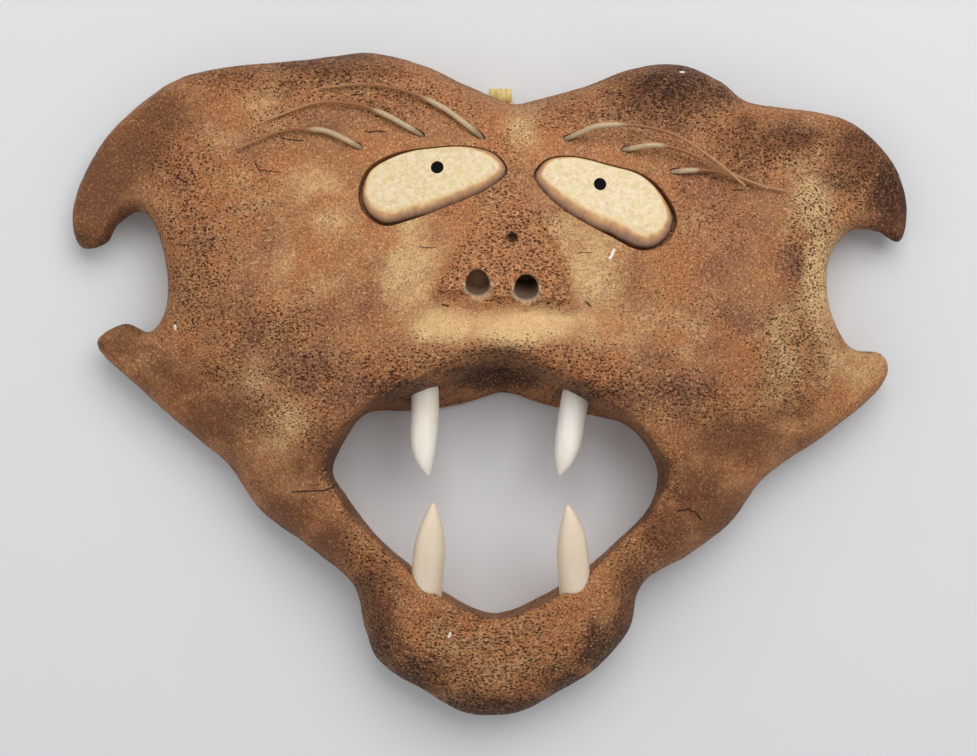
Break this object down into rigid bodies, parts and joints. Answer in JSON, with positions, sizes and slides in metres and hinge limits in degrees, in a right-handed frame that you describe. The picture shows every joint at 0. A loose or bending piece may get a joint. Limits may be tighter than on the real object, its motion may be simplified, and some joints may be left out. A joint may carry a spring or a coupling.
{
  "type": "carved whale bone mask",
  "caption": "Carved whale bone spirit mask with a horned, wide outline, open fanged mouth, inlaid ivory eyes and whisker eyebrows.",
  "frame": {"origin": "centre of the bounding box at the level of the flat back, on which the mask lies", "axes": "+X across the face to the viewer's right, +Y up the forehead, +Z out of the face"},
  "size_m": [0.3439, 0.2698, 0.0598],
  "materials": {
    "bone": "aged porous whale bone, matte",
    "eye_ivory": "polished mottled ivory with brown bark",
    "fang_ivory": "polished ivory",
    "baleen": "polished black baleen",
    "whisker": "translucent horn",
    "rawhide": "dry yellow rawhide"
  },
  "bodies": {
    "root": {"bone_mask": "bone", "left_eye": "eye_ivory", "right_eye": "eye_ivory", "left_pupil": "baleen", "right_pupil": "baleen", "fang_upper_left": "fang_ivory", "fang_upper_right": "fang_ivory", "fang_lower_left": "fang_ivory", "fang_lower_right": "fang_ivory", "whisker_left_1": "whisker", "whisker_left_2": "whisker", "whisker_left_3": "whisker", "whisker_right_1": "whisker", "whisker_right_2": "whisker", "whisker_right_3": "whisker", "hanging_loop": "rawhide"}
  },
  "joints": []
}
